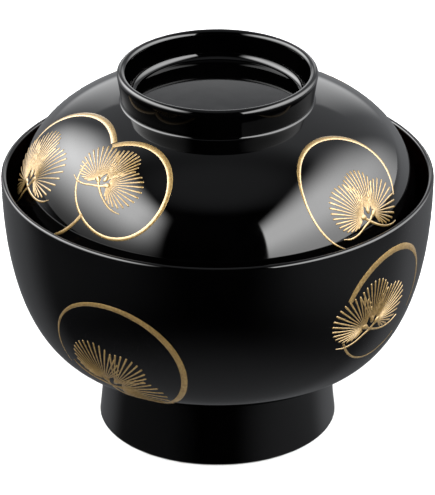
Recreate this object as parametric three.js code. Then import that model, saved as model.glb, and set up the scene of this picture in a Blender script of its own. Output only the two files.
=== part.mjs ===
// Lidded rice bowl in black lacquer, in two separate pieces:
//   bowl   a deep round bowl on a tall foot ring, one piece with its foot
//   lid    a domed lid that sits inside the bowl's mouth, one piece with its grip ring
// Units are millimetres and +Z is up. The origin is the centre of the foot's bottom face.

import * as THREE from "three";

// ---- driving dimensions ----------------------------------------------------------------------

const BOWL_RADIUS = 60;           // outside of the rim
const BOWL_HEIGHT = 75;           // top of the rim
const RIM_THICKNESS = 1.6;        // wall at the lip, which is a half round
const BELLY = { r: 44.2, z: 24.4 };              // where the underside turns up into the wall
const INSIDE_WALL = { r: 55.4, z: 58 };          // inside of the wall, below the lid's seat
const BOWL_FLOOR_Z = 23;          // lowest point of the inside

const FOOT_RADIUS = 33.3;         // outside of the foot ring at the table
const FOOT_THICKNESS = 3.2;       // width of the ring at the table
const FOOT_EDGE_ROUND = 0.5;
const FOOT_NECK = { r: 32.2, z: 18 };            // narrowest part, just under the bowl
const FOOT_NECK_FILLET = 1.8;
const FOOT_HOLLOW = { r: 28.4, z: 17 };          // top corner of the hollow inside the ring
const FOOT_HOLLOW_FILLET = 4;

const LID_RADIUS = 56.1;          // widest part, at the lid's bottom edge
const LID_EDGE_Z = 67.1;          // height of that edge when the lid is on the bowl
const LID_EDGE_ROUND = 0.9;
const LID_CEILING_Z = 93.8;       // underside of the lid at its centre
const SEAT_GAP = 0.35;            // clear space between the lid's edge and the bowl's wall

const GRIP_BASE = { r: 26.6, z: 96.9 };          // where the grip ring stands on the dome
const GRIP_BASE_FILLET = 0.8;
const GRIP_RADIUS = 27.7;         // outside of the grip ring's lip
const GRIP_TOP_Z = 105.9;
const GRIP_THICKNESS = 2.4;
const GRIP_FLOOR = { r: 24.3, z: 98.2 };         // bottom corner of the hollow inside the ring
const GRIP_FLOOR_FILLET = 2;

// Sweeping stretches of the profiles. Each leaves its start and arrives at its end in a direction
// given in degrees above the +r direction, and holds it more stiffly the longer its pull.
const FOOT_WALL = { leave: 97, leavePull: 5, arrive: 90, arrivePull: 6 };
const UNDERSIDE = { leave: 14, leavePull: 4, arrive: 24, arrivePull: 4 };
const WALL = { leave: 24, leavePull: 2.4, arrive: 89.3, arrivePull: 40.2 };
const MOUTH_FLARE = { leave: -96, leavePull: 2.5, arrive: -104, arrivePull: 2 };
const SEAT_RUN_IN = { leave: -104, leavePull: 3, arrive: -94, arrivePull: 3 };
const INSIDE = { leave: -94, leavePull: 24, arrive: 180, arrivePull: 45 };
const LID_UNDERSIDE = { leave: 0, leavePull: 44, arrive: -82, arrivePull: 15 };
const DOME = { leave: 98.4, leavePull: 15.6, arrive: 164.6, arrivePull: 22 };

const TURN_STEPS = 48;            // facets around the axis
const CURVE_STEP = 4;             // length of a facet along a sweeping stretch
const ROUND_STEP = 30;            // degrees that a facet takes up on a rounded edge
const LACQUER = { color: 0x0b0b0d, roughness: 0.08, metalness: 0 };

// ---- profile helpers: a profile is a list of (radius, height) points --------------------------

const at = (r, z) => new THREE.Vector2(r, z);

// The point `length` away from `start`, `degrees` above the +r direction.
function along(start, degrees, length) {
  const angle = THREE.MathUtils.degToRad(degrees);
  return at(start.x + length * Math.cos(angle), start.y + length * Math.sin(angle));
}

function sweep(start, shape, end) {
  const startHandle = along(start, shape.leave, shape.leavePull);
  const endHandle = along(end, shape.arrive, -shape.arrivePull);
  const steps = Math.ceil(start.distanceTo(end) / CURVE_STEP);
  return new THREE.CubicBezierCurve(start, startHandle, endHandle, end).getPoints(steps);
}

// An arc around `centre`, from one angle to another in degrees.
function round(centre, radius, from, to) {
  const steps = Math.ceil(Math.abs(to - from) / ROUND_STEP);
  return Array.from({ length: steps + 1 }, (_, i) =>
    along(centre, THREE.MathUtils.lerp(from, to, i / steps), radius));
}

// Joins stretches end to end and drops the points that they share.
function joinProfile(...stretches) {
  const samePoint = 1e-3;
  return stretches.flat().filter((point, i, all) =>
    i === 0 || point.distanceTo(all[i - 1]) > samePoint);
}

// ---- bowl --------------------------------------------------------------------------------------

// Hollow inside the foot ring, from the axis out to the foot's bottom face.
function footHollowProfile() {
  const topCorner = at(FOOT_HOLLOW.r - FOOT_HOLLOW_FILLET, FOOT_HOLLOW.z - FOOT_HOLLOW_FILLET);
  const innerEdge = at(FOOT_RADIUS - FOOT_THICKNESS + FOOT_EDGE_ROUND, FOOT_EDGE_ROUND);
  return joinProfile(
    [at(0, FOOT_HOLLOW.z)],
    round(topCorner, FOOT_HOLLOW_FILLET, 90, 0),
    round(innerEdge, FOOT_EDGE_ROUND, 180, 270),
  );
}

// Outside of the foot, which spreads a little towards the table, up to where it meets the bowl.
function footOutsideProfile() {
  const outerEdge = at(FOOT_RADIUS - FOOT_EDGE_ROUND, FOOT_EDGE_ROUND);
  const filletCentre = at(FOOT_NECK.r + FOOT_NECK_FILLET, FOOT_NECK.z);
  return joinProfile(
    round(outerEdge, FOOT_EDGE_ROUND, 270, 360),
    sweep(at(FOOT_RADIUS, FOOT_EDGE_ROUND), FOOT_WALL, at(FOOT_NECK.r, FOOT_NECK.z)),
    round(filletCentre, FOOT_NECK_FILLET, 180, 90 + UNDERSIDE.leave),
  );
}

// Underside, belly and wall, from the foot up to the lip and over it.
function wallOutsideProfile(start) {
  const belly = at(BELLY.r, BELLY.z);
  const half = RIM_THICKNESS / 2;
  const lip = at(BOWL_RADIUS, BOWL_HEIGHT - half);
  return joinProfile(
    sweep(start, UNDERSIDE, belly),
    sweep(belly, WALL, lip),
    round(at(lip.x - half, lip.y), half, 0, 180),
  );
}

// Inside, from the lip past the seat of the lid and down to the axis.
function bowlInsideProfile(start) {
  const seat = at(LID_RADIUS + SEAT_GAP, LID_EDGE_Z);
  const wall = at(INSIDE_WALL.r, INSIDE_WALL.z);
  return joinProfile(
    sweep(start, MOUTH_FLARE, seat),
    sweep(seat, SEAT_RUN_IN, wall),
    sweep(wall, INSIDE, at(0, BOWL_FLOOR_Z)),
  );
}

function bowlProfile() {
  const foot = joinProfile(footHollowProfile(), footOutsideProfile());
  const wall = wallOutsideProfile(foot.at(-1));
  return joinProfile(foot, wall, bowlInsideProfile(wall.at(-1)));
}

// ---- lid ---------------------------------------------------------------------------------------

// Underside, from the axis out to the bottom edge, and around that edge.
function lidUndersideProfile() {
  const edgeCentre = at(LID_RADIUS - LID_EDGE_ROUND, LID_EDGE_Z);
  const innerEdge = along(edgeCentre, 180, LID_EDGE_ROUND);
  return joinProfile(
    sweep(at(0, LID_CEILING_Z), LID_UNDERSIDE, innerEdge),
    round(edgeCentre, LID_EDGE_ROUND, 180, 360),
  );
}

// Dome, from the bottom edge up to the grip ring, and the fillet at the ring's base.
function domeProfile(start) {
  const filletCentre = at(GRIP_BASE.r + GRIP_BASE_FILLET, GRIP_BASE.z + GRIP_BASE_FILLET);
  const fillet = round(filletCentre, GRIP_BASE_FILLET, DOME.arrive + 90, 180);
  return joinProfile(sweep(start, DOME, fillet[0]), fillet);
}

// Lip of the grip ring and the hollow inside it, down to the axis.
function gripProfile() {
  const half = GRIP_THICKNESS / 2;
  const floorCorner = at(GRIP_FLOOR.r - GRIP_FLOOR_FILLET, GRIP_FLOOR.z + GRIP_FLOOR_FILLET);
  return joinProfile(
    round(at(GRIP_RADIUS - half, GRIP_TOP_Z - half), half, 0, 180),
    round(floorCorner, GRIP_FLOOR_FILLET, 0, -90),
    [at(0, GRIP_FLOOR.z)],
  );
}

function lidProfile() {
  const underside = lidUndersideProfile();
  return joinProfile(underside, domeProfile(underside.at(-1)), gripProfile());
}

// ---- object ------------------------------------------------------------------------------------

// A solid turned around the Z axis.
function turned(name, profile) {
  const geometry = new THREE.LatheGeometry(profile, TURN_STEPS);
  geometry.rotateX(Math.PI / 2);
  const mesh = new THREE.Mesh(geometry, new THREE.MeshStandardMaterial(LACQUER));
  mesh.name = name;
  return mesh;
}

const riceBowl = new THREE.Group();
riceBowl.add(turned("bowl", bowlProfile()));
riceBowl.add(turned("lid", lidProfile()));

export default riceBowl;
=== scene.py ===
"""Looks of the lidded rice bowl: two turned shells of black lacquer, with raised gold motifs.

Shapes are worked out in millimetres, as in the CAD source, and become metres when a mesh is made.
Azimuth is in degrees round the bowl: 0 is the front (-Y) and 90 is the right (+X).
"""

import math
from collections import namedtuple

import bpy
import numpy as np
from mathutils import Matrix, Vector


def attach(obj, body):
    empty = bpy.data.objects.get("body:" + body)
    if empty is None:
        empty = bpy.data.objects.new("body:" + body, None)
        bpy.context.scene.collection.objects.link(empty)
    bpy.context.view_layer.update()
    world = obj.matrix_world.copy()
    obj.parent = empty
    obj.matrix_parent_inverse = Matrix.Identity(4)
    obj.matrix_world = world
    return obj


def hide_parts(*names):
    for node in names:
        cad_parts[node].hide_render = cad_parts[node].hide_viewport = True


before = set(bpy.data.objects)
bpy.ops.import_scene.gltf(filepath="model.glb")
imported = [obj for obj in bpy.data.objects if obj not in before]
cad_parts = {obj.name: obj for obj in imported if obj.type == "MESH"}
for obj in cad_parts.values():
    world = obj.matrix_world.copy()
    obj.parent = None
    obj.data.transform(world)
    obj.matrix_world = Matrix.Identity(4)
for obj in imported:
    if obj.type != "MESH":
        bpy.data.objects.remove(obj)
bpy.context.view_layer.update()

MM = 0.001

# -------------------------------- driving dimensions, as in the CAD source
# Lengths are in mm. A pair is a point of an outline: its radius and its height.
BOWL_RADIUS = 60
BOWL_HEIGHT = 75
RIM_THICKNESS = 1.6
BELLY = (44.2, 24.4)
INSIDE_WALL = (55.4, 58)
BOWL_FLOOR_Z = 23

FOOT_RADIUS = 33.3
FOOT_THICKNESS = 3.2
FOOT_EDGE_ROUND = 0.5
FOOT_NECK = (32.2, 18)
FOOT_NECK_FILLET = 1.8
FOOT_HOLLOW = (28.4, 17)
FOOT_HOLLOW_FILLET = 4

LID_RADIUS = 56.1
LID_EDGE_Z = 67.1
LID_EDGE_ROUND = 0.9
LID_CEILING_Z = 93.8
SEAT_GAP = 0.35

GRIP_BASE = (26.6, 96.9)
GRIP_BASE_FILLET = 0.8
GRIP_RADIUS = 27.7
GRIP_TOP_Z = 105.9
GRIP_THICKNESS = 2.4
GRIP_FLOOR = (24.3, 98.2)
GRIP_FLOOR_FILLET = 2

# A sweep leaves and arrives in these directions (degrees above +r), each with its own pull (mm).
Sweep = namedtuple("Sweep", "leave leave_pull arrive arrive_pull")
FOOT_WALL = Sweep(97, 5, 90, 6)
UNDERSIDE = Sweep(14, 4, 24, 4)
WALL = Sweep(24, 2.4, 89.3, 40.2)
MOUTH_FLARE = Sweep(-96, 2.5, -104, 2)
SEAT_RUN_IN = Sweep(-104, 3, -94, 3)
INSIDE = Sweep(-94, 24, 180, 45)
LID_UNDERSIDE = Sweep(0, 44, -82, 15)
DOME = Sweep(98.4, 15.6, 164.6, 22)

TURN_STEPS = 240
SWEEP_STEPS = 36
DEGREES_PER_ROUND_STEP = 9
SHARP_DEGREES = 75
# Two points of an outline that are closer than this are one.
SAME_POINT = 1e-6


# -------------------------------- outlines (radius, height)
def along(start, degrees, length):
    """The point that far from start, in that direction."""
    angle = math.radians(degrees)
    return (start[0] + length * math.cos(angle), start[1] + length * math.sin(angle))


def sweep(start, shape, end):
    """A cubic curve from start to end."""
    handles = (
        start,
        along(start, shape.leave, shape.leave_pull),
        along(end, shape.arrive, -shape.arrive_pull),
        end,
    )
    t = np.linspace(0, 1, SWEEP_STEPS + 1)[:, None]
    weights = ((1 - t) ** 3, 3 * (1 - t) ** 2 * t, 3 * (1 - t) * t**2, t**3)
    return sum(w * np.array(p) for w, p in zip(weights, handles))


def rounded(centre, radius, first, last):
    """An arc about centre, from one angle in degrees to the other."""
    steps = max(2, math.ceil(abs(last - first) / DEGREES_PER_ROUND_STEP))
    return np.array([along(centre, a, radius) for a in np.linspace(first, last, steps + 1)])


def straight(start, end, steps=8):
    """Points along a straight run, close enough together for clean shading."""
    return np.linspace(start, end, steps + 1)


def joined(*runs):
    """One outline from runs that meet end to start."""
    points = [runs[0][0]]
    for run in runs:
        points += [p for p in run if math.dist(p, points[-1]) > SAME_POINT]
    return np.array(points)


def bowl_wall_outline():
    """The fillet at the neck of the foot, and the wall from there up to the lip."""
    neck_centre = (FOOT_NECK[0] + FOOT_NECK_FILLET, FOOT_NECK[1])
    neck = rounded(neck_centre, FOOT_NECK_FILLET, 180, 90 + UNDERSIDE.leave)
    lip = (BOWL_RADIUS, BOWL_HEIGHT - RIM_THICKNESS / 2)
    return neck, joined(sweep(neck[-1], UNDERSIDE, BELLY), sweep(BELLY, WALL, lip))


def bowl_outlines():
    """The bowl in two stretches that meet at the lip.

    They are its outside, from the axis under the foot, and its inside, down to the axis."""
    hollow_r, hollow_z = FOOT_HOLLOW
    edge = FOOT_EDGE_ROUND
    foot_inner = FOOT_RADIUS - FOOT_THICKNESS
    hollow_fillet = rounded(
        (hollow_r - FOOT_HOLLOW_FILLET, hollow_z - FOOT_HOLLOW_FILLET), FOOT_HOLLOW_FILLET, 90, 0
    )
    inner_edge = rounded((foot_inner + edge, edge), edge, 180, 270)
    outer_edge = rounded((FOOT_RADIUS - edge, edge), edge, 270, 360)
    neck, wall = bowl_wall_outline()
    lip_centre = (BOWL_RADIUS - RIM_THICKNESS / 2, BOWL_HEIGHT - RIM_THICKNESS / 2)
    lip = rounded(lip_centre, RIM_THICKNESS / 2, 0, 180)
    seat = (LID_RADIUS + SEAT_GAP, LID_EDGE_Z)
    outside = joined(
        straight((0, hollow_z), hollow_fillet[0], 24),
        hollow_fillet,
        straight(hollow_fillet[-1], inner_edge[0]),
        inner_edge,
        straight(inner_edge[-1], outer_edge[0], 3),
        outer_edge,
        sweep(outer_edge[-1], FOOT_WALL, neck[0]),
        neck,
        wall,
        lip,
    )
    inside = joined(
        sweep(lip[-1], MOUTH_FLARE, seat),
        sweep(seat, SEAT_RUN_IN, INSIDE_WALL),
        sweep(INSIDE_WALL, INSIDE, (0, BOWL_FLOOR_Z)),
    )
    return outside, inside


def dome_outline():
    """The dome, from the lid's edge up to the grip ring's base fillet, and that fillet."""
    base_centre = (GRIP_BASE[0] + GRIP_BASE_FILLET, GRIP_BASE[1] + GRIP_BASE_FILLET)
    fillet = rounded(base_centre, GRIP_BASE_FILLET, 90 + DOME.arrive, 180)
    return sweep((LID_RADIUS, LID_EDGE_Z), DOME, fillet[0]), fillet


def lid_outlines():
    """The lid in six stretches that meet end to start, from axis to axis.

    They are its inside, its dome, the grip ring's wall, the ring's lip, the wall of the recess in the
    ring and the floor of the recess."""
    edge = rounded((LID_RADIUS - LID_EDGE_ROUND, LID_EDGE_Z), LID_EDGE_ROUND, -180, 0)
    dome, fillet = dome_outline()
    lip_radius = GRIP_THICKNESS / 2
    lip = rounded((GRIP_RADIUS - lip_radius, GRIP_TOP_Z - lip_radius), lip_radius, 0, 180)
    floor_r, floor_z = GRIP_FLOOR
    floor_fillet = rounded(
        (floor_r - GRIP_FLOOR_FILLET, floor_z + GRIP_FLOOR_FILLET), GRIP_FLOOR_FILLET, 0, -90
    )
    return (
        sweep((0, LID_CEILING_Z), LID_UNDERSIDE, edge[0]),
        joined(edge, dome, fillet),
        straight(fillet[-1], lip[0]),
        lip,
        straight(lip[-1], floor_fillet[0]),
        joined(floor_fillet, straight(floor_fillet[-1], (0, floor_z), 24)),
    )


# -------------------------------- the outside surfaces that carry the gold
class Turned:
    """An outside surface, addressed by azimuth and by the distance s up its outline."""

    # The outline runs on this far past its ends, so that a motif can be laid across an edge.
    RUN_ON = 40
    # The slope at a point is taken over this distance to each side of it.
    SLOPE_REACH = 0.3
    DRAPE_ROUNDS = 8

    def __init__(self, outline):
        lead_in = self._run_on(outline[0], outline[1])
        lead_out = self._run_on(outline[-1], outline[-2])
        points = np.vstack([lead_in, outline, lead_out])
        self.s = np.concatenate([[0], np.cumsum(np.hypot(*np.diff(points, axis=0).T))]) - self.RUN_ON
        self.r, self.z = points.T
        self.length = self.s[-1] - self.RUN_ON

    def _run_on(self, end, neighbour):
        """The point RUN_ON past an end of the outline, away from the end's neighbour."""
        return end + (end - neighbour) / math.dist(end, neighbour) * self.RUN_ON

    def frame(self, azimuth, s):
        """Point, direction to the right, direction up the surface, outward normal and radius.

        Azimuth is in radians here."""
        r = np.interp(s, self.s, self.r)
        z = np.interp(s, self.s, self.z)
        below, above = s - self.SLOPE_REACH, s + self.SLOPE_REACH
        dr = np.interp(above, self.s, self.r) - np.interp(below, self.s, self.r)
        dz = np.interp(above, self.s, self.z) - np.interp(below, self.s, self.z)
        size = np.hypot(dr, dz)
        out = np.stack([np.sin(azimuth), -np.cos(azimuth), 0 * azimuth], -1)
        right = np.stack([np.cos(azimuth), np.sin(azimuth), 0 * azimuth], -1)
        axis = np.array([0.0, 0.0, 1.0])
        point = r[..., None] * out + z[..., None] * axis
        up = (dr / size)[..., None] * out + (dz / size)[..., None] * axis
        return point, right, up, np.cross(right, up), r

    def drape(self, centre, flat):
        """Points, normals and s under flat (n x 2, mm right and up).

        flat lies in the plane that touches the surface at centre. Each round moves the points, by
        Newton's method, closer to where they lie squarely under it."""
        azimuth0 = np.radians(float(centre[0]))
        s0 = np.array(float(centre[1]))
        origin, right0, up0, _, radius = self.frame(azimuth0, s0)
        azimuth = azimuth0 + flat[:, 0] / radius
        s = s0 + flat[:, 1]
        for _ in range(self.DRAPE_ROUNDS):
            point, right, up, _, r = self.frame(azimuth, s)
            miss_u = flat[:, 0] - (point - origin) @ right0
            miss_v = flat[:, 1] - (point - origin) @ up0
            a, b, c, d = r * (right @ right0), up @ right0, r * (right @ up0), up @ up0
            scale = a * d - b * c
            azimuth = azimuth + (d * miss_u - b * miss_v) / scale
            s = s + (a * miss_v - c * miss_u) / scale
        point, _, _, normal, _ = self.frame(azimuth, s)
        return point, normal, s


# -------------------------------- meshes
def add_piece(name, body, slot, vertices, faces):
    """A mesh piece from millimetre vertices, riding on a CAD body, smooth but at its sharp edges."""
    mesh = bpy.data.meshes.new(name)
    mesh.from_pydata((np.asarray(vertices) * MM).tolist(), [], faces)
    mesh.validate()
    mesh.shade_smooth()
    mesh.set_sharp_from_angle(angle=math.radians(SHARP_DEGREES))
    piece = bpy.data.objects.new(name, mesh)
    bpy.context.scene.collection.objects.link(piece)
    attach(piece, body)
    return piece


def turn(outline):
    """Vertices and faces of the outline, which starts and ends on the axis, turned round it.

    Each stretch of the outline makes one belt of TURN_STEPS faces, in order."""
    angles = np.linspace(0, 2 * math.pi, TURN_STEPS, endpoint=False)
    rim = outline[1:-1]
    rings = [
        np.stack([r * np.sin(angles), -r * np.cos(angles), np.full(TURN_STEPS, z)], 1)
        for r, z in rim
    ]
    poles = [[0, 0, outline[0][1]], [0, 0, outline[-1][1]]]
    first_pole = len(rim) * TURN_STEPS
    last_pole = first_pole + 1
    last_ring = first_pole - TURN_STEPS
    steps = [(k, (k + 1) % TURN_STEPS) for k in range(TURN_STEPS)]
    faces = [(first_pole, after, k) for k, after in steps]
    for low in range(0, last_ring, TURN_STEPS):
        high = low + TURN_STEPS
        faces += [(low + k, low + after, high + after, high + k) for k, after in steps]
    faces += [(last_ring + k, last_ring + after, last_pole) for k, after in steps]
    return np.vstack([*rings, poles]), faces


class Relief:
    """Strokes of raised gold, laid on one turned surface from the plane that touches it at centre."""

    # Across a stroke: share of its half width, and share of its height. The two ends, with no share,
    # are sunk in the lacquer by SINK.
    SECTION = ((-1.12, None), (-0.84, 0.75), (0, 1), (0.84, 0.75), (1.12, None))
    SINK = -0.05
    # A stroke stops this far from the surface's lower and upper edges.
    EDGE_CLEARANCE = 0.9

    def __init__(self, surface, centre):
        self.surface = surface
        self.centre = centre
        self.vertices = []
        self.faces = []

    def stroke(self, line, half_widths, height):
        """Adds a closed ridge along line (n x 2, mm), of those half widths and height or heights."""
        line = np.asarray(line, float)
        along_line = np.gradient(line, axis=0)
        across = np.stack([-along_line[:, 1], along_line[:, 0]], 1)
        across /= np.hypot(*across.T)[:, None]
        shares = np.array([share for share, _ in self.SECTION])
        half_widths = np.broadcast_to(half_widths, len(line))
        flat = line[:, None] + across[:, None] * (half_widths[:, None] * shares)[:, :, None]
        points, normals, s = self.surface.drape(self.centre, flat.reshape(-1, 2))
        lifts = np.array([
            [self.SINK if lift is None else lift * row_height for _, lift in self.SECTION]
            for row_height in np.broadcast_to(height, len(line))
        ])
        points = (points + normals * lifts.reshape(-1, 1)).reshape(len(line), len(shares), 3)
        s = s.reshape(len(line), len(shares))
        top = self.surface.length - self.EDGE_CLEARANCE
        inside = (s > self.EDGE_CLEARANCE).all(1) & (s < top).all(1)
        crossings = np.flatnonzero(np.diff(inside.astype(int))) + 1
        for run in np.split(np.arange(len(line)), crossings):
            if inside[run[0]] and len(run) > 1:
                self._ridge(points[run])

    def _ridge(self, rows):
        """Adds the closed solid whose cross-sections are rows."""
        base = len(self.vertices)
        count = rows.shape[1]
        self.vertices += rows.reshape(-1, 3).tolist()
        for low in range(base, base + (len(rows) - 1) * count, count):
            high = low + count
            for k in range(count):
                after = (k + 1) % count
                self.faces.append((low + after, low + k, high + k, high + after))
        self.faces.append(tuple(base + k for k in range(count)))
        end = base + (len(rows) - 1) * count
        self.faces.append(tuple(end + k for k in reversed(range(count))))

    def piece(self, name, body):
        """All the strokes so far, as one piece."""
        return add_piece(name, body, "gold_decoration", self.vertices, self.faces)


# -------------------------------- gold motifs
# A ring is a slightly oval line round the point at azimuth and s on its body's outside, with its half
# axes in mm and its tilt in degrees anticlockwise. It is drawn with a loaded brush: each arc runs
# between two angles (degrees, 0 right, 90 up), with the line's widths (mm) spaced evenly along it.
Arc = namedtuple("Arc", "first last widths")
Ring = namedtuple("Ring", "name body azimuth s half_axes tilt arcs")
# A fan is laid out from the same kind of point: root (mm right and up) is where its twigs meet, turn
# is in degrees anticlockwise, and size scales it.
Fan = namedtuple("Fan", "name body azimuth s root turn size")

RING_HEIGHT = 0.1
NEEDLE_HEIGHT = 0.12
TWIG_HEIGHT = 0.14
BUD_HEIGHT = 0.3
RING_STEP_DEGREES = 3

RINGS = (
    Ring("lid_ring_left", "lid", -66.6, 20.8, (20.4, 17.5), -8, (
        Arc(190, 62, (0.4, 0.9, 1.4, 1.6, 1.6, 1.6)),
        Arc(-13, -65, (0.9, 0.8, 0.35)),
    )),
    Ring("lid_ring_middle", "lid", -35.2, 24.8, (14.8, 13.6), -36, (
        Arc(-195, 131, (0.55, 0.6, 0.65, 0.72, 0.85, 1.0, 1.25, 1.5, 1.6, 1.65, 1.65)),
    )),
    Ring("lid_ring_right", "lid", 48.7, 20.2, (16.8, 15.7), 31, (
        Arc(-26, 238, (0.5, 0.85, 0.9, 1.25, 1.3, 1.15, 1.0, 0.75, 0.6, 0.55, 0.3)),
    )),
    Ring("bowl_ring_left", "bowl", -30.5, 30.5, (19.6, 19.6), 0, (
        Arc(205, -80, (0.25, 0.55, 0.7, 1.1, 1.4, 1.65, 1.8, 1.7, 1.6, 1.4, 0.7)),
    )),
    Ring("bowl_ring_right", "bowl", 52.7, 42.8, (16.6, 17.2), 0, (
        Arc(158, -28, (1.7, 2.0, 2.0, 1.9, 1.6, 0.8, 0.5, 0.25)),
        Arc(206, 305, (0.7, 0.6, 0.6, 0.3)),
    )),
    Ring("lid_ring_back_left", "lid", -146, 11, (16, 15), 20, (
        Arc(-150, 200, (0.4, 0.6, 1.0, 1.4, 1.5, 1.3, 0.8, 0.4)),
    )),
    Ring("lid_ring_back_right", "lid", 137, 11.5, (14.5, 13.5), -25, (
        Arc(-30, 240, (0.2, 0.8, 1.3, 1.4, 1.0, 0.6, 0.2)),
    )),
    Ring("bowl_ring_back_left", "bowl", -128, 41.5, (17.4, 17.4), 0, (
        Arc(200, -60, (0.2, 0.6, 1.2, 1.6, 1.5, 1.0, 0.4)),
    )),
    Ring("bowl_ring_back_right", "bowl", 150, 34, (19, 19), 0, (
        Arc(230, -25, (0.3, 0.8, 1.3, 1.6, 1.4, 0.7, 0.2)),
    )),
)

FANS = (
    Fan("lid_fan_left", "lid", -66.6, 20.8, (-8.2, -9.8), 15, 1.14),
    Fan("lid_fan_middle", "lid", -34.9, 25.0, (-6.4, -1.8), -24, 0.89),
    Fan("lid_fan_right", "lid", 48.7, 20.2, (1.0, -9.6), -8, 0.94),
    Fan("bowl_fan_left", "bowl", -30.5, 30.5, (-4.3, -11.1), -39, 1.13),
    Fan("bowl_fan_right", "bowl", 52.7, 42.8, (-5.9, -5.2), 1, 1.05),
    Fan("lid_fan_back_left", "lid", -146, 11, (-2.5, -5.0), 8, 0.9),
    Fan("lid_fan_back_right", "lid", 137, 11.5, (1.5, -5.0), -12, 0.85),
    Fan("bowl_fan_back_left", "bowl", -128, 41.5, (-3.5, -6.5), 14, 1.05),
    Fan("bowl_fan_back_right", "bowl", 150, 34, (2.5, -8.5), -20, 1.1),
)

# A lobe of a fan: where its needles start, their first and last directions (degrees), how many there
# are, their lengths (mm) at the two ends and at the longest, and the longest one's place as a share of
# the way from first to last.
Lobe = namedtuple("Lobe", "start first last count first_length longest last_length longest_at")
LOBES = (
    Lobe((-2.1, 0.8), 222, 78, 20, 3.8, 13.0, 6.5, 0.59),
    Lobe((2.2, 1.6), -52, 100, 18, 3.8, 12.3, 4.5, 0.54),
    Lobe((0.4, 2.0), 122, 60, 10, 11.6, 13.0, 10.0, 0.5),
)
NEEDLE_ROOT_WIDTH = 0.2
NEEDLE_TIP_WIDTH = 0.54
# How far from the lobe's start its needles begin (mm), round the bud.
NEEDLE_CLEARANCE = 1.0
NEEDLE_ROWS = 9
# A needle narrows and drops over this length at its tip (mm), to these shares of its width and height.
NEEDLE_BLUNT_LENGTH = 0.25
NEEDLE_BLUNT_WIDTH = 0.55
NEEDLE_BLUNT_HEIGHT = 0.3
# It is lower at its root, and reaches its full height this share of the way along.
NEEDLE_ROOT_HEIGHT = 0.75
NEEDLE_FULL_HEIGHT_AT = 0.4
# A bud: its middle, its direction (degrees), its length and its width (mm).
Bud = namedtuple("Bud", "middle degrees length width")
BUDS = (
    Bud((-2.0, 1.0), 160, 2.4, 1.5),
    Bud((0.2, 2.7), 96, 2.4, 1.3),
    Bud((2.4, 1.5), 40, 2.4, 1.5),
)
BUD_ROWS = 13
# A bud's ends aren't quite points: the least that the square of its share of the full width falls to.
BUD_END = 0.02
# The twigs' middle lines (mm), and the width (mm) along each.
TWIGS = (
    ((1.6, 0.9), (0.0, -0.5), (-2.4, -1.7), (-5.0, -3.1), (-8.0, -3.7), (-10.8, -3.2)),
    ((-1.5, 0.6), (0.7, -0.7), (3.6, -1.9), (7.0, -2.7), (10.2, -2.6), (12.6, -1.8)),
)
TWIG_WIDTHS = (0.8, 0.7, 0.55, 0.5, 0.25)


def spread(values, count):
    """Evenly spaced values, eased between the given ones."""
    at = np.linspace(0, len(values) - 1, count)
    low = np.minimum(at.astype(int), len(values) - 2)
    share = at - low
    share = share * share * (3 - 2 * share)
    values = np.array(values, float)
    return values[low] * (1 - share) + values[low + 1] * share


def smooth_line(points, count=24):
    """A smooth curve through the points (Catmull-Rom)."""
    points = np.array(points, float)
    padded = np.vstack([2 * points[0] - points[1], points, 2 * points[-1] - points[-2]])
    line = []
    for at in np.linspace(0, len(points) - 1, count):
        k = min(int(at), len(points) - 2)
        t = at - k
        a, b, c, d = padded[k : k + 4]
        square = 2 * a - 5 * b + 4 * c - d
        cube = 3 * b - a - 3 * c + d
        line.append(0.5 * (2 * b + (c - a) * t + square * t**2 + cube * t**3))
    return np.array(line)


def rotated(points, degrees):
    """Flat points turned anticlockwise round the origin, by degrees."""
    angle = math.radians(degrees)
    c, s = math.cos(angle), math.sin(angle)
    return np.asarray(points, float) @ np.array([[c, s], [-s, c]])


def add_ring(ring, surfaces):
    """One brushed gold ring."""
    relief = Relief(surfaces[ring.body], (ring.azimuth, ring.s))
    for arc in ring.arcs:
        count = 2 + int(abs(arc.last - arc.first) / RING_STEP_DEGREES)
        angles = np.radians(np.linspace(arc.first, arc.last, count) - ring.tilt)
        oval = np.stack([np.cos(angles), np.sin(angles)], 1) * ring.half_axes
        widths = spread(arc.widths, count)
        # A line thinner than 1 mm is lower too.
        relief.stroke(rotated(oval, ring.tilt), widths / 2, RING_HEIGHT * np.minimum(1, widths))
    return relief.piece(ring.name, ring.body)


def add_needles(relief, lobe, place):
    """The needles of one lobe, slightly widening to blunt tips."""
    directions = np.linspace(lobe.first, lobe.last, lobe.count)
    share = np.linspace(0, 1, lobe.count)
    rising = np.sin(np.clip(share / lobe.longest_at, 0, 1) * math.pi / 2)
    falling = np.clip((share - lobe.longest_at) / (1 - lobe.longest_at), 0, 1) ** 2
    lengths = lobe.first_length + (lobe.longest - lobe.first_length) * rising
    lengths -= (lobe.longest - lobe.last_length) * falling
    for direction, length in zip(directions, lengths):
        blunt_from = length - NEEDLE_BLUNT_LENGTH
        reach = np.append(np.linspace(NEEDLE_CLEARANCE, blunt_from, NEEDLE_ROWS), length)
        line = np.array([along(lobe.start, direction, distance) for distance in reach])
        widths = np.interp(reach, (0, length), (NEEDLE_ROOT_WIDTH, NEEDLE_TIP_WIDTH))
        widths[-1] *= NEEDLE_BLUNT_WIDTH
        heights = NEEDLE_HEIGHT * np.interp(
            reach,
            (0, NEEDLE_FULL_HEIGHT_AT * length, blunt_from, length),
            (NEEDLE_ROOT_HEIGHT, 1, 1, NEEDLE_BLUNT_HEIGHT),
        )
        relief.stroke(place(line), widths / 2, heights)


def add_bud(relief, bud, place):
    """One oval bud, highest in the middle."""
    shares = np.cos(np.linspace(math.pi, 0, BUD_ROWS))
    line = np.array([along(bud.middle, bud.degrees, share * bud.length / 2) for share in shares])
    oval = np.sqrt(np.clip(1 - shares**2, BUD_END, 1))
    relief.stroke(place(line), bud.width / 2 * oval, BUD_HEIGHT * oval)


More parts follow.
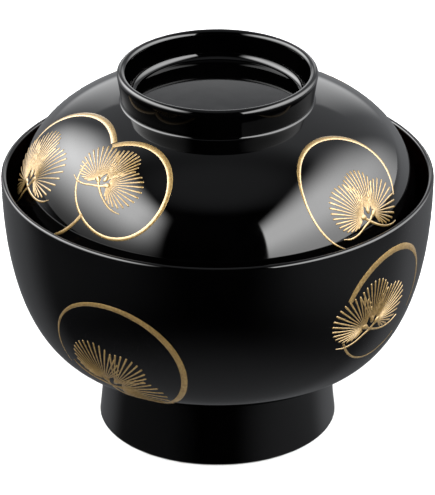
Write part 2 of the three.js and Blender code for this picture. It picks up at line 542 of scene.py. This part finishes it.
def add_fan(fan, surfaces):
    """One pine fan: three lobes of needles, a bud on each, and two long twigs."""
    relief = Relief(surfaces[fan.body], (fan.azimuth, fan.s))

    def place(points):
        """The fan's own points, moved to where the fan stands."""
        return rotated(points, fan.turn) * fan.size + np.array(fan.root)

    for lobe in LOBES:
        add_needles(relief, lobe, place)
    for twig in TWIGS:
        line = smooth_line(twig)
        relief.stroke(place(line), spread(TWIG_WIDTHS, len(line)) / 2, TWIG_HEIGHT)
    for bud in BUDS:
        add_bud(relief, bud, place)
    return relief.piece(fan.name, fan.body)


# -------------------------------- materials
def new_material(name):
    """A node material and its parts: the tree and the Principled shader."""
    material = bpy.data.materials.new(name)
    material.use_nodes = True
    tree = material.node_tree
    return material, tree, tree.nodes["Principled BSDF"]


def node(tree, kind, **settings):
    """A node of that kind, with its properties set."""
    made = tree.nodes.new(kind)
    for key, value in settings.items():
        setattr(made, key, value)
    return made


def noise(tree, size_mm, detail=3):
    """Noise whose patches are about size_mm across, in object coordinates."""
    made = node(tree, "ShaderNodeTexNoise")
    made.inputs["Scale"].default_value = 1 / (size_mm * MM)
    made.inputs["Detail"].default_value = detail
    coordinates = node(tree, "ShaderNodeTexCoord").outputs["Object"]
    tree.links.new(coordinates, made.inputs["Vector"])
    return made.outputs["Fac"]


def ramp(tree, value, *stops):
    """A colour ramp driven by value, with (place, colour) stops."""
    made = node(tree, "ShaderNodeValToRGB")
    elements = made.color_ramp.elements
    while len(elements) < len(stops):
        elements.new(0.5)
    for element, (place, colour) in zip(elements, stops):
        element.position = place
        element.color = (*colour, 1)
    tree.links.new(value, made.inputs["Fac"])
    return made.outputs["Color"]


def between(tree, value, low, high, to_low, to_high, easing="LINEAR"):
    """value carried from one range to another, and held at its ends."""
    made = node(tree, "ShaderNodeMapRange", interpolation_type=easing)
    ends = {"From Min": low, "From Max": high, "To Min": to_low, "To Max": to_high}
    for key, number in ends.items():
        made.inputs[key].default_value = number
    tree.links.new(value, made.inputs["Value"])
    return made.outputs["Result"]


def eased(tree, value, low, high, to_low=0, to_high=1):
    """value carried smoothly from one range to another, and held at its ends."""
    return between(tree, value, low, high, to_low, to_high, "SMOOTHSTEP")


def arithmetic(tree, operation, first, second):
    """The two values joined by one step of arithmetic."""
    made = node(tree, "ShaderNodeMath", operation=operation)
    tree.links.new(first, made.inputs[0])
    tree.links.new(second, made.inputs[1])
    return made.outputs[0]


def product(tree, first, second):
    """The two values multiplied."""
    return arithmetic(tree, "MULTIPLY", first, second)


def total(tree, first, second):
    """The two values added."""
    return arithmetic(tree, "ADD", first, second)


def bump(tree, shader, height, distance_mm, strength):
    """Fine relief on the shader's normal."""
    made = node(tree, "ShaderNodeBump")
    made.inputs["Strength"].default_value = strength
    made.inputs["Distance"].default_value = distance_mm * MM
    tree.links.new(height, made.inputs["Height"])
    tree.links.new(made.outputs["Normal"], shader.inputs["Normal"])


# Each lacquer's darkest and lightest colours.
BLACK = ((0.0001, 0.0001, 0.00012), (0.0003, 0.00028, 0.00032))
MAROON = ((0.0022, 0.0002, 0.0001), (0.0036, 0.0004, 0.0002))
LACQUER_IOR = 1.5
LACQUER_ROUGHNESS = (0.035, 0.06)
# Specular levels of lacquer. The first is the lacquer's real polish. The two lower levels are painted
# shade: they cut the reflection of the grip ring's outer wall and of its recess wall, so that these
# read dark.
POLISHED = 0.5
SHADE_DIMMED_SPECULAR = 0.05
SHADE_BLACKED_SPECULAR = 0.0
# The cloud in the lacquer's colour, its polish marks and its uneven skin: the size of a patch (mm).
CLOUD_SIZE = 14
POLISH_MARK_SIZE = 5
SKIN_SIZE = 3.5
# The middle part of a noise's range, which is spread over a lacquer's colours or roughness.
NOISE_MIDDLE = (0.35, 0.65)

# The gold's colours, from thin to thick powder, with the noise value where each stands.
GOLD_COLOURS = (
    (0.3, (0.2, 0.118, 0.034)),
    (0.55, (0.3, 0.194, 0.064)),
    (0.75, (0.39, 0.282, 0.122)),
)
GOLD_METALLIC = 0.7
GOLD_ROUGHNESS = (0.36, 0.52)
GOLD_NOISE_MIDDLE = (0.3, 0.7)
# The clear lacquer over the gold.
GOLD_COAT = {"Coat Weight": 0.9, "Coat IOR": 1.6, "Coat Roughness": 0.2}
# Its drifts of powder, its patches of polish and its grains: the size of each (mm).
DRIFT_SIZE = 0.5
GOLD_POLISH_SIZE = 0.25
GRAIN_SIZE = 0.18


def lacquer(name, colours, specular=POLISHED):
    """Urushi: deep colour with a faint cloud in it, soft polish marks and a barely uneven skin."""
    material, tree, shader = new_material(name)
    colour = ramp(tree, noise(tree, CLOUD_SIZE), *zip(NOISE_MIDDLE, colours))
    tree.links.new(colour, shader.inputs["Base Color"])
    marks = between(tree, noise(tree, POLISH_MARK_SIZE, 4), *NOISE_MIDDLE, *LACQUER_ROUGHNESS)
    tree.links.new(marks, shader.inputs["Roughness"])
    shader.inputs["Specular IOR Level"].default_value = specular
    shader.inputs["IOR"].default_value = LACQUER_IOR
    bump(tree, shader, noise(tree, SKIN_SIZE, 2), distance_mm=0.02, strength=0.06)
    return material


def gold_powder():
    """Sprinkled gold: warm metal with grains, thinner and browner in places."""
    material, tree, shader = new_material("gold_powder")
    shader.inputs["Metallic"].default_value = GOLD_METALLIC
    colour = ramp(tree, noise(tree, DRIFT_SIZE, 4), *GOLD_COLOURS)
    tree.links.new(colour, shader.inputs["Base Color"])
    polish = between(tree, noise(tree, GOLD_POLISH_SIZE), *GOLD_NOISE_MIDDLE, *GOLD_ROUGHNESS)
    tree.links.new(polish, shader.inputs["Roughness"])
    for key, value in GOLD_COAT.items():
        shader.inputs[key].default_value = value
    bump(tree, shader, noise(tree, GRAIN_SIZE, 2), distance_mm=0.03, strength=0.5)
    return material


# -------------------------------- studio
CAMERA_PITCH = 26.95
CAMERA_DISTANCE = 1.33965
CAMERA_AIM = Vector((0, 0, 0.05102))
CAMERA_LENS = 348.6

# The room as the lacquer mirrors it: how bright it is overhead, underneath, behind, and low on each
# side. It is dark in front.
ROOM_COLOUR = (0.94, 0.96, 1.0, 1)
ROOM_OVERHEAD = 0.25
ROOM_UNDERNEATH = 0.25
ROOM_BEHIND = 0.5
ROOM_LOW_RIGHT = 0.25
ROOM_LOW_LEFT = 0.08
# Where each of them starts and where it is full. The numbers are how far a unit direction points to
# the right, to the back or up, and room_level says which.
OVERHEAD_FADE = (0.8, 1.0)
UNDERNEATH_FADE = (-0.65, -1.0)
BEHIND_FADE = (0.2, 0.6)
BEHIND_TOP_FADE = (0.95, 0.75)
LOW_RIGHT_FADE = (0.2, 0.9)
LOW_LEFT_FADE = (-0.2, -0.8)
LOW_TOP_FADE = (0.0, -0.1)
LOW_BOTTOM_FADE = (-0.85, -0.5)
# Behind, the room falls to this share of its brightness towards the ground.
BEHIND_GROUND_FADE = (-0.6, 0.1)
BEHIND_GROUND_LEVEL = 0.3

BACKDROP_COLOUR = (1, 1, 1, 1)
PANEL_DISTANCE = 0.75
FLOOR_HALF_WIDTH = 0.72
FLOOR_COLOUR = (0.8, 0.8, 0.8, 1)
FLOOR_ROUGHNESS = 0.9
# The floor lies this far below the foot, so that the two don't share a plane.
FLOOR_DROP = 0.0002

# A soft panel of light stands off the bowl on one side: turn is that side's azimuth in degrees. Its
# left, right, low and high edges are in shares of its distance, and it fades over these shares of its
# width or height. Along its low edge it has the share low_level of its full brightness.
Panel = namedtuple(
    "Panel",
    "name turn radiance left right low high fade_left fade_right fade_low low_level fade_high",
)
PANELS = (
    Panel(
        "softbox_left", turn=-90, radiance=10.4, left=-1.8, right=2.1, low=0.08, high=2.2,
        fade_left=0.31, fade_right=0.4, fade_low=0.42, low_level=0.06, fade_high=0.48,
    ),
    Panel(
        "softbox_right", turn=90, radiance=9.6, left=-1.5, right=1.96, low=0.11, high=2.1,
        fade_left=0.5, fade_right=0.03, fade_low=0.35, low_level=0.5, fade_high=0.52,
    ),
    Panel(
        "softbox_back", turn=180, radiance=1.15, left=-0.5, right=0.5, low=0.05, high=0.609,
        fade_left=0.3, fade_right=0.3, fade_low=0.2, low_level=0.0, fade_high=0.08,
    ),
)


def add_panel(panel):
    """An upright panel of light facing the bowl, fading towards its edges.

    Left is as seen from the bowl."""
    light = bpy.data.lights.new(panel.name, "AREA")
    light.shape = "RECTANGLE"
    light.size = (panel.right - panel.left) * PANEL_DISTANCE
    light.size_y = (panel.high - panel.low) * PANEL_DISTANCE
    light.energy = panel.radiance * math.pi * light.size * light.size_y
    light.use_nodes = True
    fade_light(light.node_tree, panel)
    lamp = bpy.data.objects.new(panel.name, light)
    turn_angle = math.radians(panel.turn)
    ahead = Vector((math.sin(turn_angle), -math.cos(turn_angle), 0))
    rightward = Vector((-math.cos(turn_angle), -math.sin(turn_angle), 0))
    up = Vector((0, 0, 1))
    middle = rightward * (panel.left + panel.right) / 2 + up * (panel.low + panel.high) / 2
    lamp.location = (ahead + middle) * PANEL_DISTANCE
    lamp.rotation_euler = (math.radians(90), 0, turn_angle)
    lamp.visible_camera = False
    bpy.context.scene.collection.objects.link(lamp)


def fade_light(tree, panel):
    """Dims the light towards the panel's four edges."""
    split = node(tree, "ShaderNodeSeparateXYZ")
    tree.links.new(node(tree, "ShaderNodeNewGeometry").outputs["Parametric"], split.inputs[0])
    # The panel's own X axis runs from its right to its left, as seen from the bowl.
    across, up = split.outputs["X"], split.outputs["Y"]
    right_edge = eased(tree, across, 0, panel.fade_right)
    left_edge = eased(tree, across, 1, 1 - panel.fade_left)
    low_edge = eased(tree, up, 0, panel.fade_low, panel.low_level)
    high_edge = eased(tree, up, 1, 1 - panel.fade_high)
    level = product(tree, product(tree, right_edge, left_edge), product(tree, low_edge, high_edge))
    tree.links.new(level, tree.nodes["Emission"].inputs["Strength"])


def set_world():
    """A pale backdrop for the eye, and a dim grey room for the reflections."""
    world = bpy.data.worlds.new("studio")
    scene = bpy.context.scene
    scene.world = world
    scene.view_settings.view_transform = "Standard"
    world.use_nodes = True
    tree = world.node_tree
    room = tree.nodes["Background"]
    room.inputs["Color"].default_value = ROOM_COLOUR
    tree.links.new(room_level(tree), room.inputs["Strength"])
    backdrop = node(tree, "ShaderNodeBackground")
    backdrop.inputs["Color"].default_value = BACKDROP_COLOUR
    mix = node(tree, "ShaderNodeMixShader")
    tree.links.new(node(tree, "ShaderNodeLightPath").outputs["Is Camera Ray"], mix.inputs["Fac"])
    tree.links.new(room.outputs[0], mix.inputs[1])
    tree.links.new(backdrop.outputs[0], mix.inputs[2])
    tree.links.new(mix.outputs[0], tree.nodes["World Output"].inputs["Surface"])


def room_level(tree):
    """How bright the room is each way."""
    split = node(tree, "ShaderNodeSeparateXYZ")
    tree.links.new(node(tree, "ShaderNodeTexCoord").outputs["Generated"], split.inputs[0])
    right, back, up = split.outputs
    overhead = eased(tree, up, *OVERHEAD_FADE, 0, ROOM_OVERHEAD)
    underneath = eased(tree, up, *UNDERNEATH_FADE, 0, ROOM_UNDERNEATH)
    behind = eased(tree, back, *BEHIND_FADE, 0, ROOM_BEHIND)
    behind = product(tree, behind, eased(tree, up, *BEHIND_TOP_FADE))
    behind = product(tree, behind, eased(tree, up, *BEHIND_GROUND_FADE, BEHIND_GROUND_LEVEL, 1))
    low_left = eased(tree, right, *LOW_LEFT_FADE, 0, ROOM_LOW_LEFT)
    low_right = eased(tree, right, *LOW_RIGHT_FADE, 0, ROOM_LOW_RIGHT)
    band = product(tree, eased(tree, up, *LOW_TOP_FADE), eased(tree, up, *LOW_BOTTOM_FADE))
    low = product(tree, total(tree, low_left, low_right), band)
    return total(tree, total(tree, overhead, underneath), total(tree, behind, low))


def add_floor():
    """A pale floor that stops just short of the panels. It doesn't show in the lacquer."""
    half = FLOOR_HALF_WIDTH
    mesh = bpy.data.meshes.new("floor")
    corners = [(-half, -half, 0), (half, -half, 0), (half, half, 0), (-half, half, 0)]
    mesh.from_pydata(corners, [], [(0, 1, 2, 3)])
    floor = bpy.data.objects.new("floor", mesh)
    bpy.context.scene.collection.objects.link(floor)
    floor.location.z = -FLOOR_DROP
    floor.visible_glossy = False
    material, _, shader = new_material("pale_floor")
    shader.inputs["Base Color"].default_value = FLOOR_COLOUR
    shader.inputs["Roughness"].default_value = FLOOR_ROUGHNESS
    mesh.materials.append(material)


def add_camera():
    """The view from in front and above, through a long lens."""
    camera = bpy.data.objects.new("camera", bpy.data.cameras.new("camera"))
    camera.data.lens = CAMERA_LENS
    pitch = math.radians(CAMERA_PITCH)
    camera.location = CAMERA_AIM + CAMERA_DISTANCE * Vector((0, -math.cos(pitch), math.sin(pitch)))
    camera.rotation_euler = (math.pi / 2 - pitch, 0, 0)
    bpy.context.scene.collection.objects.link(camera)
    bpy.context.scene.camera = camera


# -------------------------------- the bowl and its lid
def add_shell(body, stretches):
    """One turned shell in place of its CAD node.

    stretches are (outline, material) pairs whose outlines meet end to start."""
    outlines, finishes = zip(*stretches)
    shell = add_piece(f"{body}_shell", body, "black_lacquer", *turn(joined(*outlines)))
    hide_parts(body)
    materials = list(dict.fromkeys(finishes))
    for material in materials:
        shell.data.materials.append(material)
    belts = [len(outline) - 1 for outline in outlines]
    finish_of_belt = np.repeat([materials.index(finish) for finish in finishes], belts)
    finish_of_face = np.repeat(finish_of_belt, TURN_STEPS).astype(np.int32)
    shell.data.polygons.foreach_set("material_index", finish_of_face)


def add_shells():
    """The bowl and the lid: black outside and maroon inside. The grip ring's outer wall and recess
    wall get copies of the black lacquer that reflect less, as painted shade.
    """
    black = lacquer("black_urushi", BLACK)
    # The next two are copies of the black lacquer with lower specular levels, used as painted shade on
    # the grip ring's walls.
    ring_wall_painted_shade = lacquer("ring_wall_shade_urushi", BLACK, SHADE_DIMMED_SPECULAR)
    recess_wall_painted_shade = lacquer("recess_shade_urushi", BLACK, SHADE_BLACKED_SPECULAR)
    maroon = lacquer("maroon_urushi", MAROON)
    bowl_outside, bowl_inside = bowl_outlines()
    add_shell("bowl", ((bowl_outside, black), (bowl_inside, maroon)))
    inside, dome, ring_wall, ring_lip, recess_wall, recess_floor = lid_outlines()
    add_shell("lid", (
        (inside, maroon),
        (dome, black),
        # Painted shade: the ring's outer wall gets black lacquer with little reflection, so it reads
        # dark.
        (ring_wall, ring_wall_painted_shade),
        (ring_lip, black),
        # Painted shade: the recess wall gets black lacquer with no reflection at all, so it reads
        # black.
        (recess_wall, recess_wall_painted_shade),
        (recess_floor, black),
    ))


def add_gold():
    """Every gold ring and fan, as a raised piece of its own."""
    surfaces = {"bowl": Turned(bowl_wall_outline()[1]), "lid": Turned(dome_outline()[0])}
    gold = gold_powder()
    rings = [add_ring(ring, surfaces) for ring in RINGS]
    fans = [add_fan(fan, surfaces) for fan in FANS]
    for piece in rings + fans:
        piece.data.materials.append(gold)


add_shells()
add_gold()
add_floor()
for panel in PANELS:
    add_panel(panel)
set_world()
add_camera()
